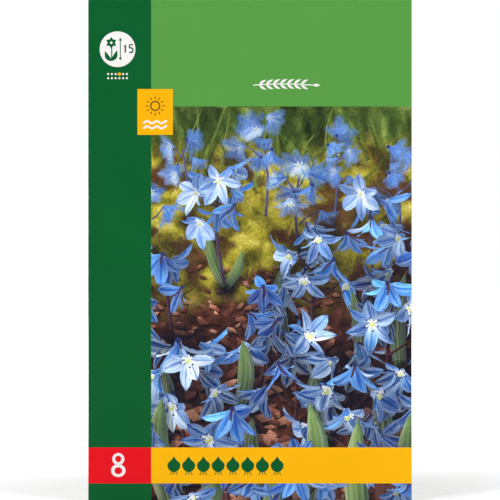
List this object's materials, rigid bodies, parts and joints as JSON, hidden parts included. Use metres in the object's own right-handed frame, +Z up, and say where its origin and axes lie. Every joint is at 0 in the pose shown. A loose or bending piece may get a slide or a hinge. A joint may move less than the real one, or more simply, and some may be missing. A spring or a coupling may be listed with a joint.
{
  "type": "flower bulb packet",
  "caption": "Upright picture card folded over the glued mouth of a clear punched film bag that holds small brown-purple flower bulbs behind it.",
  "frame": {"origin": "on the flat underside of the filled bag, on the packet's centre line, 18.5 mm behind the printed face", "axes": "+Z up the standing card, +Y from the printed face to the back of the bag, +X to the right of someone who reads the printed face"},
  "size_m": [0.125, 0.0422, 0.194],
  "materials": {
    "board": "printed face under a satin varnish, bare white-lined grey board behind",
    "film": "clear glossy polypropylene film",
    "glue": "dried hot-melt glue",
    "tunic": "dry papery purple-brown bulb tunic, satin"
  },
  "bodies": {
    "root": {"card": "board", "bag": "film", "glue_front": "glue", "glue_back": "glue", "bulb_1": "tunic", "bulb_2": "tunic", "bulb_3": "tunic", "bulb_4": "tunic", "bulb_5": "tunic", "bulb_6": "tunic", "bulb_7": "tunic", "bulb_8": "tunic"}
  },
  "joints": []
}
